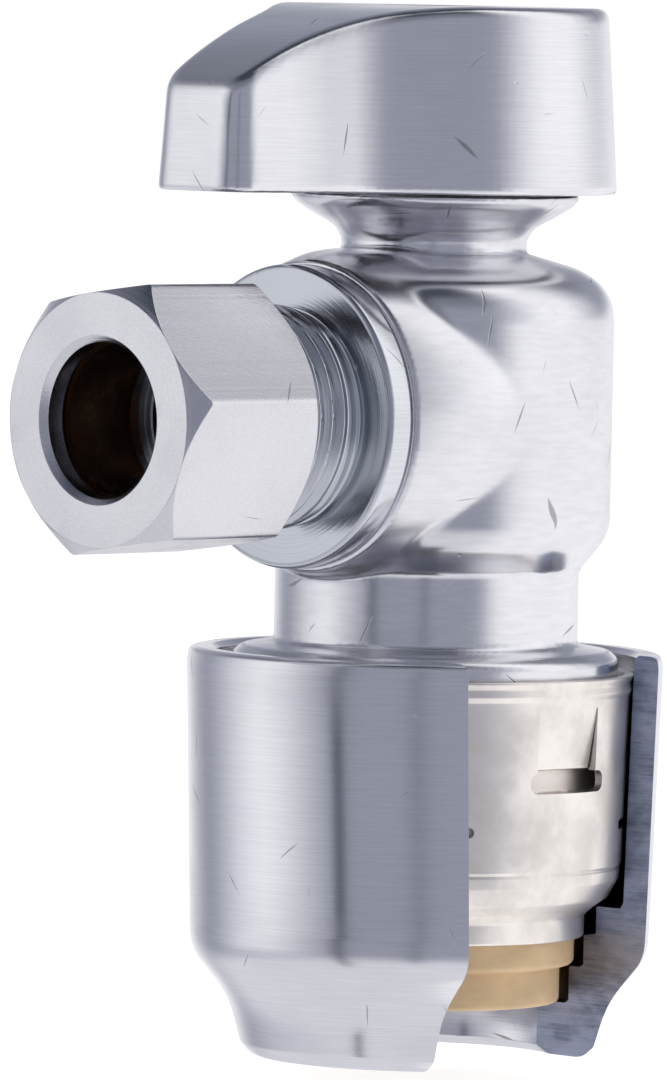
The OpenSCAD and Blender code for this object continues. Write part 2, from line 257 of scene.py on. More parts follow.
class Lookup:
    """An Outline's distance read off a fine grid, with smooth steps between its points."""

    def __init__(self, outline, low, high, step=0.08):
        self.low, self.step = np.array(low, float), step
        size = [int((h - l) / step) + 3 for l, h in zip(low, high)]
        x, y = np.meshgrid(*[l + step * np.arange(n) for l, n in zip(low, size)], indexing="ij")
        self.table = outline(x, y)

    def __call__(self, x, y):
        u = np.clip((x - self.low[0]) / self.step, 1, self.table.shape[0] - 3.001)
        v = np.clip((y - self.low[1]) / self.step, 1, self.table.shape[1] - 3.001)
        i, j = u.astype(int), v.astype(int)
        wu, wv = self.weights(u - i), self.weights(v - j)
        total = 0
        for a in range(4):
            for b in range(4):
                total = total + wu[a] * wv[b] * self.table[i + a - 1, j + b - 1]
        return total

    @staticmethod
    def weights(t):
        """Weights of a cubic B-spline, which also soften the table's facets."""
        return [(1 - t) ** 3 / 6, (3 * t ** 3 - 6 * t ** 2 + 4) / 6,
                (-3 * t ** 3 + 3 * t ** 2 + 3 * t + 1) / 6, t ** 3 / 6]


def join(a, b, blend):
    """Both solids, with a fillet of about the blend's size between them."""
    h = np.maximum(blend - np.abs(a - b), 0) / blend
    return np.minimum(a, b) - h * h * blend / 4


def common(a, b, blend):
    """What both solids share, with its new edge rounded."""
    return -join(-a, -b, blend)


def cut(a, b, blend=0.2):
    """Solid a without solid b."""
    return common(a, -b, blend)


def rod(across, along, radius, low, high):
    """A cylinder, from the distance across its axis and the place along it."""
    return np.maximum(across - radius, np.maximum(low - along, along - high))


def surface(distance, low, high, step):
    """Vertices and faces of the surface where the distance is zero, with one point in each cell."""
    axes = [np.arange(l, h + step, step) for l, h in zip(low, high)]
    x, y, z = np.meshgrid(*axes, indexing="ij")
    value = distance(x, y, z)
    inside = value < 0
    size = np.array(value.shape) - 1
    total, hits = np.zeros((*size, 3)), np.zeros(size)
    corners = [(a, b, c) for a in (0, 1) for b in (0, 1) for c in (0, 1)]
    for start in corners:
        for axis in range(3):
            if start[axis]:
                continue
            end = tuple(1 if k == axis else start[k] for k in range(3))
            first = value[tuple(slice(s, s + n) for s, n in zip(start, size))]
            last = value[tuple(slice(s, s + n) for s, n in zip(end, size))]
            crossed = (first < 0) != (last < 0)
            share = np.where(crossed, first / np.where(crossed, first - last, 1), 0)
            for k in range(3):
                offset = share if k == axis else start[k]
                total[..., k] += np.where(crossed, offset, 0)
            hits += crossed
    cells = np.argwhere(hits > 0)
    index = np.full(size, -1)
    index[tuple(cells.T)] = np.arange(len(cells))
    within = total[tuple(cells.T)] / hits[tuple(cells.T)][:, None]
    points = np.array([a[0] for a in axes]) + (cells + within) * step
    faces = []
    for axis in range(3):
        u, v = (axis + 1) % 3, (axis + 2) % 3
        span = [slice(1, -1)] * 3
        span[axis] = slice(0, -1)
        ahead = list(span)
        ahead[axis] = slice(1, None)
        first, last = inside[tuple(span)], inside[tuple(ahead)]
        at = np.argwhere(first != last)
        flip = first[tuple(at.T)]
        at = at + np.array([0 if k == axis else 1 for k in range(3)])
        quad = []
        for du, dv in ((0, 0), (1, 0), (1, 1), (0, 1)):
            cell = at.copy()
            cell[:, u] -= du
            cell[:, v] -= dv
            quad.append(index[tuple(cell.T)])
        quad = np.stack(quad, -1)
        quad[~flip] = quad[~flip][:, ::-1]
        faces.append(quad)
    return settle(distance, points, step), np.concatenate(faces).tolist()


def settle(distance, points, step, rounds=4):
    """Moves points along the slope of the distance until they lie on the surface."""
    probe = 0.02
    for _ in range(rounds):
        here = distance(*points.T)
        slope = np.stack([
            distance(*(points + probe * np.eye(3)[k]).T) - distance(*(points - probe * np.eye(3)[k]).T)
            for k in range(3)], -1) / (2 * probe)
        steep = np.maximum((slope ** 2).sum(1), 0.2)
        move = np.clip(here / steep, -step / 2, step / 2)
        points = points - move[:, None] * slope
    return points


# ---- Body ----

def body_outline():
    """Half section of the body's outside, from the end of its pipe socket to the top flange."""
    z0, curve = OUTLET_Z, 9
    socket = [(-3, SKIRT_Z, 0), (SKIRT_R, SKIRT_Z), (SKIRT_R, SKIRT_Z + 1), (11.3, SKIRT_Z + 1), (11.3, 19.9),
              (SKIRT_R, 19.9), (12.33, 21.2, 0.3), (12.35, 22.0, 0.5), (11.75, 22.5, 0.4)]
    lower_neck = [(LOWER_NECK_R, 22.86, 0.35), (LOWER_NECK_R, 27.6, 0.9)]
    barrel = [(11.2, 29.45, curve), (BARREL_R, 30.5, curve), (BARREL_R, z0 + 6.5, curve)]
    shoulder = [(11.35, z0 + 7.6, curve), (10.6, z0 + 8.6, curve), (9.3, z0 + 9.4, curve),
                (7.3, z0 + 9.95, curve)]
    upper_neck = [(NECK_R, z0 + 10.35, 0.3), (NECK_R, z0 + 11.2, curve), (6.4, z0 + 11.95, curve),
                  (7.6, z0 + 12.6, curve), (8.75, z0 + 13.3, curve)]
    flange = [(9.15, z0 + 13.75, 0.3), (9.15, BODY_TOP, 0.15), (-3, BODY_TOP, 0)]
    return rounded(socket + lower_neck + barrel + shoulder + upper_neck + flange, radius=0.15, segments=6)


def body_distance(outline):
    """The body: its turned outline, the crowned side boss and the stop lug, less its bores."""
    boss_gap, boss_half_height = 0.02, 10.6
    lug_r, lug_half_depth, lug_half_width, lug_height = 7.3, 1.3, 3.6, 1.7

    def distance(x, y, z):
        from_stem = np.sqrt(x * x + y * y)
        from_outlet = np.sqrt(x * x + (z - OUTLET_Z) ** 2)
        out = -y
        solid = outline(from_stem, z)
        fall = np.clip((out - BOSS_CROWN) / (BOSS_FACE - BOSS_CROWN), 0, 1.2) ** 2
        boss_r = BOSS_R + BOSS_SWELL * (1 - fall)
        boss = common(from_outlet - boss_r, out - BOSS_FACE + boss_gap, 0.25)
        boss = common(boss, np.abs(z - OUTLET_Z) - boss_half_height, 0.6)
        solid = join(solid, np.maximum(boss, -out), 0.3)
        round_stem = np.abs(np.arctan2(y, x) - TAU / 4) * from_stem
        lug = np.maximum(np.abs(from_stem - lug_r) - lug_half_depth, round_stem - lug_half_width)
        lug = np.maximum(lug, np.maximum(z - BODY_TOP - lug_height, BODY_TOP - 1 - z))
        solid = np.minimum(solid, lug)
        seal_groove = rod(from_stem, z, 10.25, 0, SKIRT_Z + 2.95)
        pipe_socket = rod(from_stem, z, PIPE_R, 0, PIPE_STOP_Z)
        waterway = rod(from_stem, z, 5, 0, OUTLET_Z)
        ball_cavity = rod(from_outlet, out, CAVITY_R, -7, 7.6)
        nipple_hole = rod(from_outlet, out, SPIGOT_R + 0.05, 7.6, 20)
        stem_well = rod(from_stem, z, 4.3, OUTLET_Z, OUTLET_Z + 8)
        stem_hole = rod(from_stem, z, STEM_HOLE_R, OUTLET_Z, OUTLET_Z + 20)
        for hollow in (seal_groove, pipe_socket, waterway, ball_cavity, nipple_hole, stem_well, stem_hole):
            solid = cut(solid, hollow)
        return solid
    return distance


def make_body(material):
    outline = Lookup(Outline(body_outline()), (-0.5, SKIRT_Z - 1), (14, BODY_TOP + 1.5))
    vertices, faces = surface(body_distance(outline), BODY_LOW - 0.6, BODY_HIGH + 0.6, 0.22)
    obj = make_object("valve_body_forged", vertices, faces, sharp=60)
    return stand_for(obj, "valve_body", material)


# ---- Handle ----

HANDLE_R = 11.6
TIP_HALF_W = 3.85
TIP_Y = HANDLE_LOW[1]
HANDLE_WALL = 1.6


def handle_plan():
    """The teardrop seen from above: a round end, hollow flanks and a blunt tip."""
    lean = math.radians(36)
    arc = [(HANDLE_R * math.cos(a), HANDLE_R * math.sin(a), 0)
           for a in np.linspace(-lean, math.pi + lean, 90)]
    left = [(-6.3, -11.0, 11), (-4.9, -16.0, 30), (-TIP_HALF_W, TIP_Y, 2.2)]
    right = [(-x, y, r) for x, y, r in reversed(left)]
    return rounded(arc + left + right, segments=12)


def handle_distance(plan):
    """The hollow lever: drafted sides, a roof that curves down to the tip, a hub and two stop ribs."""
    bottom, top = HANDLE_LOW[2], HANDLE_HIGH[2]
    draft = math.radians(3.9)
    ramp_y, ramp_r = -4.6, 30.0
    inset = bottom + 0.35                # lower end of the hub and ribs
    hub_r, screw_r, screw_head_r = 5, 1.7, 3.4
    rib_angles = (54, 216)

    def distance(x, y, z):
        from_stem = np.sqrt(x * x + y * y)
        side = (plan(x, y) + (z - bottom) * math.tan(draft)) * math.cos(draft)
        roof = np.where(y > ramp_y, z - top, np.sqrt((y - ramp_y) ** 2 + (z - top + ramp_r) ** 2) - ramp_r)
        solid = common(common(side, roof, 0.85), bottom - z, 0.4)
        solid = cut(solid, common(side + HANDLE_WALL, roof + 2, 1.5), 0.5)
        solid = join(solid, rod(from_stem, z, hub_r, inset, top - 1), 0.5)
        for turn in rib_angles:
            a = math.radians(turn)
            along = x * math.cos(a) + y * math.sin(a)
            across = -x * math.sin(a) + y * math.cos(a)
            rib = np.maximum(np.abs(across) - 0.6, np.abs(along - 7) - 3)
            solid = join(solid, np.maximum(rib, np.maximum(inset - z, z - top + 1)), 0.4)
        drive = np.maximum(from_stem - STEM_HOLE_R, np.abs(x) - 2.25)
        solid = cut(solid, np.maximum(drive, z - BODY_TOP - 7.4))
        solid = cut(solid, rod(from_stem, z, STEM_HOLE_R, 0, BODY_TOP + 0.7))
        solid = cut(solid, rod(from_stem, z, screw_r, 0, top + 5))
        return cut(solid, rod(from_stem, z, screw_head_r, top - 2.8, top + 5), 0.3)
    return distance


def make_handle(material):
    plan = Lookup(Outline(handle_plan()), (-14, TIP_Y - 2), (14, 14), 0.12)
    vertices, faces = surface(handle_distance(plan), HANDLE_LOW - 0.6, HANDLE_HIGH + 0.6, 0.25)
    obj = make_object("lever_handle", vertices, faces, sharp=60)
    return stand_for(obj, "handle", material)


# ---- Outlet ----

def thread_depth(place):
    """Depth of a 60 degree thread below its crest, at a place counted in turns."""
    share = np.abs((place % 1) - 0.5) * 2
    return 0.56 * np.clip(share * 1.25 - 0.12, 0, 1)


def nipple_outline():
    """Half section of the nipple, with the threaded stretch given by many points."""
    start, end = FLANGE_FACE + 0.95, NIPPLE_END - 0.45
    bore, flange = 3.6, 9.6
    groove_r, groove_low, groove_high = SPIGOT_R - 1.1, 8.7, 10.1
    before = rounded([
        (TUBE_R, NIPPLE_END - 6.7, 0), (bore, NIPPLE_END - 6.7), (bore, BOSS_FACE - 3.6),
        (SPIGOT_R, BOSS_FACE - 3.6, 0.3), (SPIGOT_R, groove_low), (groove_r, groove_low),
        (groove_r, groove_high), (SPIGOT_R, groove_high), (SPIGOT_R, BOSS_FACE, 0.05),
        (flange, BOSS_FACE, 0.35), (flange, FLANGE_FACE, 0.4), (6.75, FLANGE_FACE, 0.25), (6.62, start - 0.3, 0.3),
        (THREAD_R - 0.15, start, 0)])
    rows = np.arange(start + 0.05, end, THREAD_PITCH / 14)
    thread = np.stack([np.full(len(rows), THREAD_R), rows], -1)
    after = rounded([
        (THREAD_R, end, 0), (THREAD_R - 0.5, NIPPLE_END), (6.25, NIPPLE_END), (4.95, NIPPLE_END - 3.25),
        (TUBE_R, NIPPLE_END - 3.25), (TUBE_R, NIPPLE_END - 6.6, 0)])
    return np.concatenate([before, thread, after]), len(before), len(before) + len(thread)


def make_nipple(material):
    outline, first, last = nipple_outline()
    steps = 288
    rows = outline[first:last, 1]
    run_in = np.clip((rows - rows[0]) / (0.8 * THREAD_PITCH), 0, 1)
    run_out = run_in * np.clip((rows[-1] - rows) / 0.3, 0, 1)
    columns = []
    for a in np.arange(steps) * TAU / steps:
        radius = outline[:, 0].copy()
        radius[first:last] -= thread_depth((rows - FLANGE_FACE) / THREAD_PITCH + a / TAU) * run_out + 0.05
        columns.append(sideways(radius, np.full(len(radius), a), outline[:, 1]))
    obj = make_object("threaded_nipple", *grid_solid(np.stack(columns)), sharp=50)
    return stand_for(weighted(obj), "outlet_nipple", material)


def make_nut(material):
    """A hexagon nut whose corners are turned off at both ends."""
    corner = HALF_FLATS / math.cos(math.pi / 6)
    first_corner = math.radians(9)
    bore = THREAD_R + 0.06
    face_r = HALF_FLATS - 0.02
    per_flat = 26
    columns = []
    spread = np.sin(np.linspace(-1, 1, per_flat + 1)[:-1] * TAU / 4)
    for flat in range(6):
        for share in spread:
            turn = share * math.pi / 6
            angle = first_corner + math.pi / 6 + flat * math.pi / 3 + turn
            reach = min(HALF_FLATS / math.cos(turn), corner - 0.07)
            slope = max(reach - HALF_FLATS - 0.02, 0.02)    # the turned-off corners lie at 45 degrees
            outline = rounded([
                (TUBE_R, NUT_FACE - 0.42, 0.1), (TUBE_R + 0.42, NUT_FACE, 0.12), (face_r, NUT_FACE, 0.14),
                (reach, NUT_FACE - slope, 0.14), (reach, NUT_BACK + slope, 0.14), (face_r, NUT_BACK, 0.14),
                (bore + 0.4, NUT_BACK), (bore, NUT_BACK + 0.4), (bore, NUT_FACE - 3.15),
                (6.2, NUT_FACE - 3.15), (TUBE_R, NUT_FACE - 1.6)], segments=3)
            columns.append(sideways(outline[:, 0], np.full(len(outline), angle), outline[:, 1]))
    obj = make_object("hexagon_nut", *grid_solid(np.stack(columns)), sharp=50)
    return stand_for(weighted(obj), "compression_nut", material)


# ---- Push-fit inlet ----

def cap_side(height):
    """Radius of the cap's slightly tapered side."""
    return 12.77 + (height - 8.85) * 0.033


def cap_outline():
    """Section of the drawn cap, from its narrow mouth to its flared top."""
    low, top = CAP_LOW[2], CAP_HIGH[2]
    mouth, wall = 10.5, 0.5
    outside = [
        (mouth, low, 0.2), (mouth, low + 1.4, 0.35), (11.1, low + 1.95, 0.6), (12.0, low + 2.6, 0.7),
        (12.62, low + 3.75, 0.5), (12.74, low + 4.45, 0.15), (12.66, low + 4.6, 0.08),
        (12.8, low + 4.78, 0.12), (cap_side(18.9), 18.9, 0.5), (cap_side(19.8), 19.8, 0.25),
        (cap_side(20) + 0.17, 20.15, 0.2), (13.2, 20.6, 0.3), (13.36, top - 0.12, 0.12), (13.3, top, 0.08)]
    inside = [
        (12.75, top, 0.1), (12.5, 20.3, 0.4), (12.5, 19.6, 0.3), (12.27, low + 4.7, 0.3),
        (12.1, low + 3.9, 0.4), (11.6, low + 2.9, 0.6), (10.75, low + 2.3, 0.5),
        (mouth - wall, low + 1.5, 0.3), (mouth - wall, low, 0.2)]
    return rounded(outside + inside, segments=5)


def slot_cutter(width, low, high, inner, outer, round_ends):
    """A cutter along +X with rounded corners."""
    half = width / 2
    outline = rounded([(-half, low), (half, low), (half, high), (-half, high)], round_ends, 8)
    ends = [np.stack([np.full(len(outline), x), outline[:, 0], outline[:, 1]], -1) for x in (inner, outer)]
    return grid_solid(np.stack(ends), around=False)


def tongue_solid():
    """A tongue of the cap's wall, bent inwards from its top."""
    columns = []
    for share in np.linspace(-1, 1, 25):
        angle = share * math.radians(11.6)
        sag = 0.12 * share * share
        outline = rounded([
            (11.8 + sag, 15.55, 0.12), (12.28 + sag, 15.42, 0.12), (12.95, 18.6, 0.8),
            (cap_side(20), 19.9, 0), (12.5, 19.95, 0), (12.45, 18.7, 0.8)], segments=4)
        columns.append(upright(outline[:, 0], np.full(len(outline), angle), outline[:, 1]))
    return grid_solid(np.stack(columns), around=False)


def apply_boolean(obj, other, operation):
    """The object with the other one cut away or added, and the other one gone."""
    modifier = obj.modifiers.new(operation, "BOOLEAN")
    modifier.operation = operation
    modifier.solver = "EXACT"
    modifier.object = other
    depsgraph = bpy.context.evaluated_depsgraph_get()
    mesh = bpy.data.meshes.new_from_object(obj.evaluated_get(depsgraph))
    obj.modifiers.clear()
    old = obj.data
    obj.data = mesh
    bpy.data.meshes.remove(old)
    bpy.data.objects.remove(other)


def turned_copies(solid, count, first):
    """The solid repeated round the stem axis, as one mesh."""
    vertices, faces = [], []
    for k in range(count):
        c, s = math.cos(first + k * TAU / count), math.sin(first + k * TAU / count)
        spin = np.array([[c, -s, 0], [s, c, 0], [0, 0, 1]])
        offset = len(vertices) * len(solid[0])
        vertices.append(solid[0] @ spin.T)
        faces += [[i + offset for i in face] for face in solid[1]]
    return np.concatenate(vertices), faces


def make_cap(material):
    """The cap with its windows, the tongues bent in above them, and the lances between them."""
    count, inner, outer = 4, 11.2, 15
    obj = make_object("drawn_cap", *lathe(cap_outline(), upright, 240))
    windows = turned_copies(slot_cutter(6.6, 14.0, 15.35, inner, outer, 0.6), count, 0.017)
    openings = turned_copies(slot_cutter(5.26, 14.8, 19.4, inner, outer, 0.15), count, 0)
    lances = turned_copies(slot_cutter(6.4, 11.3, 11.95, inner, outer, 0.3), count, TAU / 8)
    for cutter in (windows, openings, lances):
        apply_boolean(obj, make_object("cutter", *cutter), "DIFFERENCE")
    apply_boolean(obj, make_object("tongues", *turned_copies(tongue_solid(), count, 0)), "UNION")
    obj.data.shade_smooth()
    obj.data.set_sharp_from_angle(angle=math.radians(35))
    return stand_for(weighted(obj), "retaining_cap", material)


def make_collar(material):
    step, flange, top = 2.45, 8.4, 10.6
    outline = rounded([
        (PIPE_R, 0, 0.25), (9, 0, 0.3), (9, step, 0.15), (9.9, step, 0.4), (9.9, flange, 0.15),
        (10.9, flange, 0.12), (10.9, flange + 0.7, 0.12), (8.9, flange + 0.7, 0.1), (8.9, 10, 0.1),
        (PIPE_R + 0.35, top, 0.1), (PIPE_R, top, 0.1)], segments=5)
    obj = make_object("collar_moulding", *lathe(outline, upright, 192))
    return stand_for(weighted(obj), "release_collar", material)


CUT_Y = 8.1                              # the flat section face at the back of the cut-out
FRONT_Y, FRONT_Z = -7.35, 3.8            # where the front edge's plane crosses the stem's plane
FRONT_TURN = math.radians(7.3)
FRONT_LEAN = math.radians(2.4)


def sleeve_outline():
    """Section of the thick sleeve: foot, ogee, side, top edge and stepped bore."""
    foot, top, curve = SLEEVE_LOW[2], SLEEVE_HIGH[2], 9
    lower = [(8.6, foot + 0.5, 0.3), (8.95, foot, 0.25), (10.6, foot, 0.9), (11.3, foot + 0.75, 0.6),
             (11.5, foot + 1.5, 0.6), (11.78, foot + 2.5, curve), (12.15, foot + 3.5, curve),
             (12.75, foot + 4.5, curve), (13.6, foot + 5.55, curve), (14.3, foot + 6.4, curve)]
    upper = [(14.62, foot + 7.3, curve), (14.68, foot + 8.5, curve), (15.2, top - 0.7, curve),
             (15.08, top - 0.12, 0.35), (14.6, top, 0.25), (13.75, top, 0.12), (13.45, top - 0.3, 0.12)]
    bore = [(13.05, 6.5, 0.3), (12.85, 6.1, 0.15), (11.3, 6.1), (11.3, 4.3), (10.6, 4.2), (10.6, 2.3),
            (10.4, 2.1), (9.85, 2.1), (9.85, -0.1), (9.65, -0.3), (8.9, -0.3), (8.6, -0.6)]
    return rounded(lower + upper + bore, radius=0.12, segments=4)


def sleeve_angles(radius, height, share):
    """Angle at this share of the way round, from the cut-out's back plane to its front plane."""
    front_y = FRONT_Y - (height - FRONT_Z) * math.tan(FRONT_LEAN)
    start = np.arcsin(CUT_Y / radius)
    offset = front_y * math.cos(FRONT_TURN) - FRONT_Y * math.sin(FRONT_TURN)
    end = TAU - FRONT_TURN + np.arcsin(np.clip(offset / radius, -1, 1))
    return start + (end - start) * share


def make_sleeve(material):
    outline = sleeve_outline()
    shares = np.linspace(0, 1, 221)
    radius, height = outline.T
    columns = [upright(radius, sleeve_angles(radius, height, share), height) for share in shares]
    obj = make_object("release_sleeve_turned", *grid_solid(np.stack(columns), around=False))
    bevel = obj.modifiers.new("sawn_edge", "BEVEL")
    bevel.width = 0.07 * MM
    bevel.segments = 2
    bevel.limit_method = "ANGLE"
    bevel.angle_limit = math.radians(50)
    return stand_for(weighted(obj), "release_sleeve", material)


# ---- Materials ----

class Nodes:
    """Short calls for building a node tree."""

    def __init__(self, tree):
        self.tree = tree
        tree.nodes.clear()

    def add(self, kind, inputs=None, **settings):
        node = self.tree.nodes.new(kind)
        for key, value in settings.items():
            setattr(node, key, value)
        for key, value in (inputs or {}).items():
            if isinstance(value, bpy.types.NodeSocket):
                self.tree.links.new(value, node.inputs[key])
            else:
                node.inputs[key].default_value = value
        return node

    def math(self, operation, a, b=0.0, c=0.0):
        return self.add("ShaderNodeMath", {0: a, 1: b, 2: c}, operation=operation).outputs[0]

    def vector(self, operation, a, b):
        return self.add("ShaderNodeVectorMath", {0: a, 1: b}, operation=operation)

    def noise(self, place, scale, detail=2.0, roughness=0.5):
        values = {"Vector": place, "Scale": scale, "Detail": detail, "Roughness": roughness}
        return self.add("ShaderNodeTexNoise", values).outputs["Fac"]

    def ramp(self, value, low, high, low_to=0.0, high_to=1.0, smooth=True):
        values = {"Value": value, "From Min": low, "From Max": high, "To Min": low_to, "To Max": high_to}
        kind = "SMOOTHSTEP" if smooth else "LINEAR"
        return self.add("ShaderNodeMapRange", values, interpolation_type=kind).outputs["Result"]

    def mix(self, share, a, b):
        node = self.add("ShaderNodeMix", data_type="RGBA")
        for key, value in ((0, share), (6, a), (7, b)):
            if isinstance(value, bpy.types.NodeSocket):
                self.tree.links.new(value, node.inputs[key])
            else:
                node.inputs[key].default_value = value
        return node.outputs[2]


def new_material(name):
    material = bpy.data.materials.new(name)
    material.use_nodes = True
    return material, Nodes(material.node_tree)


def finish_material(n, colour, roughness, height, metallic, bump=1.0, distance=0.01, **uniform):
    """The shader, with numbers that are the same all over set on its own sockets."""
    relief = {"Height": height, "Strength": bump, "Distance": distance * MM}
    normal = n.add("ShaderNodeBump", relief).outputs[0]
    varied = {"Base Color": colour, "Roughness": roughness, "Normal": normal}
    shader = n.add("ShaderNodeBsdfPrincipled", varied)
    shader.inputs["Metallic"].default_value = metallic
    for key, value in uniform.items():
        shader.inputs[key.replace("_", " ").title()].default_value = value
    n.add("ShaderNodeOutputMaterial", {"Surface": shader.outputs[0]})


def scratches(n, place, spacing, half_length, width, share):
    """Single fine scratches in all directions, about one in each cell of this spacing."""
    cells = n.add("ShaderNodeTexVoronoi", {"Vector": place, "Scale": 1 / (spacing * MM)}).outputs
    offset = n.vector("SUBTRACT", place, cells["Position"]).outputs[0]
    random = n.add("ShaderNodeTexWhiteNoise", {"Vector": cells["Color"]}, noise_dimensions="3D").outputs
    centred = n.vector("SUBTRACT", random["Color"], (0.5, 0.5, 0.5)).outputs[0]
    plane = n.vector("NORMALIZE", centred, (0, 0, 0))
    reach = n.add("ShaderNodeVectorMath", {0: offset}, operation="LENGTH").outputs["Value"]
    sway = n.math("MULTIPLY", n.math("SUBTRACT", n.noise(place, 500.0, 1.0), 0.5), 0.12 * MM)
    across = n.math("ADD", n.vector("DOT_PRODUCT", offset, plane.outputs[0]).outputs["Value"], sway)
    taper = n.ramp(reach, 0.2 * half_length * MM, half_length * MM, width * MM, 0.0, smooth=False)
    line = n.ramp(n.math("SUBTRACT", taper, n.math("ABSOLUTE", across)), 0.0, 0.4 * width * MM)
    return n.math("MULTIPLY", line, n.math("LESS_THAN", random["Value"], share))


def pits(n, place, spacing, radius, share):
    """Small shallow pits, at most one in each cell of this spacing."""
    cells = n.add("ShaderNodeTexVoronoi", {"Vector": place, "Scale": 1 / (spacing * MM)}).outputs
    reach = n.vector("DISTANCE", place, cells["Position"]).outputs["Value"]
    random = n.add("ShaderNodeTexWhiteNoise", {"Vector": cells["Color"]}, noise_dimensions="3D").outputs
    bowl = n.ramp(reach, 0.3 * radius * MM, radius * MM, 1.0, 0.0)
    return n.math("MULTIPLY", bowl, n.math("LESS_THAN", random["Value"], share))


def brushing(n, place, across, along):
    """Fine lines of a brushed or turned finish, far closer across them than along them."""
    stretched = n.vector("MULTIPLY", place, (along, along, across)).outputs[0]
    return n.noise(stretched, 1.0, 3.0, 0.6)


def turned_rings(n, place, scale):
    """Rings about the outlet axis, as a lathe tool leaves them."""
    centred = n.vector("SUBTRACT", place, (0, 0, OUTLET_Z * MM)).outputs[0]
    flat = n.vector("MULTIPLY", centred, (1, 0, 1)).outputs[0]
    distance = n.add("ShaderNodeVectorMath", {0: flat}, operation="LENGTH").outputs["Value"]
    values = {"W": distance, "Scale": scale, "Detail": 2.0}
    return n.add("ShaderNodeTexNoise", values, noise_dimensions="1D").outputs["Fac"]


def near_plane(n, coordinate, place, half_width):
    """One close to a plane across an axis, in millimetres, and zero away from it."""
    off = n.math("ABSOLUTE", n.math("SUBTRACT", coordinate, place * MM))
    return n.ramp(off, 0.6 * half_width * MM, half_width * MM, 1.0, 0.0)


def section_face(n, place, lines):
    """Where the sleeve is sawn through: a mask for that face, and its streaky colour. The bluish blotches are a
    painted reflection, and the lighter streaks are machining lines and painted reflection bands at once.
    """
    x, y, z = n.add("ShaderNodeSeparateXYZ", {0: place}).outputs
    mask = n.math("MULTIPLY", near_plane(n, y, CUT_Y, 0.05), n.math("GREATER_THAN", x, 0.0))
    # painted reflection: bluish blotches stand for the dark studio mirrored in the sawn face, and the lighter
    # streaks are machining lines that also stand for reflection bands
    reflection_blotches = n.noise(n.vector("MULTIPLY", place, (1, 1, 2.2)).outputs[0], 420.0, 4.0, 0.6)
    tone = n.mix(n.ramp(reflection_blotches, 0.35, 0.68), (0.50, 0.56, 0.74, 1), (0.27, 0.32, 0.45, 1))
    tone = n.mix(n.ramp(lines, 0.35, 0.75, 0.0, 0.4), tone, (0.78, 0.78, 0.86, 1))
    return mask, tone


def raw_end(n, place):
    """A mask for the unplated socket end of the body, inside the cap."""
    x, y, z = n.add("ShaderNodeSeparateXYZ", {0: place}).outputs
    radius = n.math("SQRT", n.math("ADD", n.math("MULTIPLY", x, x), n.math("MULTIPLY", y, y)))
    low = n.ramp(z, 20.2 * MM, 20.6 * MM, 1.0, 0.0)
    return n.math("MULTIPLY", low, n.ramp(radius, 12.5 * MM, 12.6 * MM, 1.0, 0.0))


def painted_recess_shade(n, place):
    """A mask for the flange's outer face and the thread beside the nut, which get painted shade there."""
    y = n.add("ShaderNodeSeparateXYZ", {0: place}).outputs[1]
    return n.ramp(y, (0.05 - FLANGE_FACE) * MM, (0.25 - FLANGE_FACE) * MM, 1.0, 0.0)


def chrome(name, tint, roughness=0.16, rings=0.0, across=9000.0, along=260.0, brushed=0.5, seed=0.0,
           wear=1.0, patch=None):
    """Satin chrome plate: brushed lines, single scratches, small pits and faint handling marks.

    Rings adds lathe rings about the outlet axis, wear scales how many marks there are, and patch
    names the one area of the piece that is coloured differently: the unplated end of the body, the
    sawn face of the sleeve with a painted reflection, or the nipple's recess with painted shade.
    """
    scratch_depth, pit_depth, wave_height = 2.4, 2.2, 0.9
    material, n = new_material(name)
    place = n.add("ShaderNodeTexCoord").outputs["Object"]
    shifted = n.vector("ADD", place, (seed, seed * 0.7, seed * 1.3)).outputs[0]
    lines = brushing(n, shifted, across, along)
    clouds = n.noise(shifted, 130.0, 3.0)
    marks = n.math("MAXIMUM", scratches(n, shifted, 3.6, 1.3, 0.07, 0.75 * wear),
                   scratches(n, shifted, 2.2, 0.6, 0.022, 0.25 * wear))
    dents = pits(n, shifted, 1.7, 0.2, 0.3 * wear)
    height = n.math("SUBTRACT", n.math("MULTIPLY", lines, brushed), n.math("MULTIPLY", marks, scratch_depth))
    height = n.math("SUBTRACT", height, n.math("MULTIPLY", dents, pit_depth))
    if rings:
        height = n.math("ADD", height, n.math("MULTIPLY", turned_rings(n, place, 5200.0), rings))
    waves = n.math("MULTIPLY", n.noise(shifted, 420.0, 2.0), wave_height)
    height = n.math("ADD", height, waves)
    rough = n.math("ADD", n.ramp(clouds, 0.35, 0.7, roughness - 0.03, roughness + 0.05),
                   n.math("MULTIPLY", marks, 0.15))
    shade = n.math("ADD", n.ramp(clouds, 0.3, 0.75, 0.0, 0.3), n.ramp(lines, 0.3, 0.7, 0.0, 0.4))
    shade = n.math("ADD", shade, n.math("MULTIPLY", marks, 0.9))
    colour = n.mix(shade, (*tint, 1), (*[0.84 * c for c in tint], 1))
    colour = n.mix(n.math("MULTIPLY", marks, 0.6), colour, (*[0.3 * c for c in tint], 1))
    # painted reflection on the sleeve's sawn face, which also gets real added roughness
    if patch == "section":
        mask, tone = section_face(n, place, lines)
        colour = n.mix(mask, colour, tone)
        rough = n.math("ADD", rough, n.math("MULTIPLY", mask, 0.38))
    if patch == "raw end":
        mask = raw_end(n, place)
        colour = n.mix(mask, colour, (1.0, 0.93, 0.88, 1))
        rough = n.math("ADD", rough, n.math("MULTIPLY", mask, 0.35))
    # painted shade: the nipple's flange face and thread are darkened beside the nut
    if patch == "painted_recess_shade":
        colour = n.mix(painted_recess_shade(n, place), colour, (0.55, 0.57, 0.61, 1))
    finish_material(n, colour, rough, height, 1.0, bump=0.35, distance=0.012)
    return material


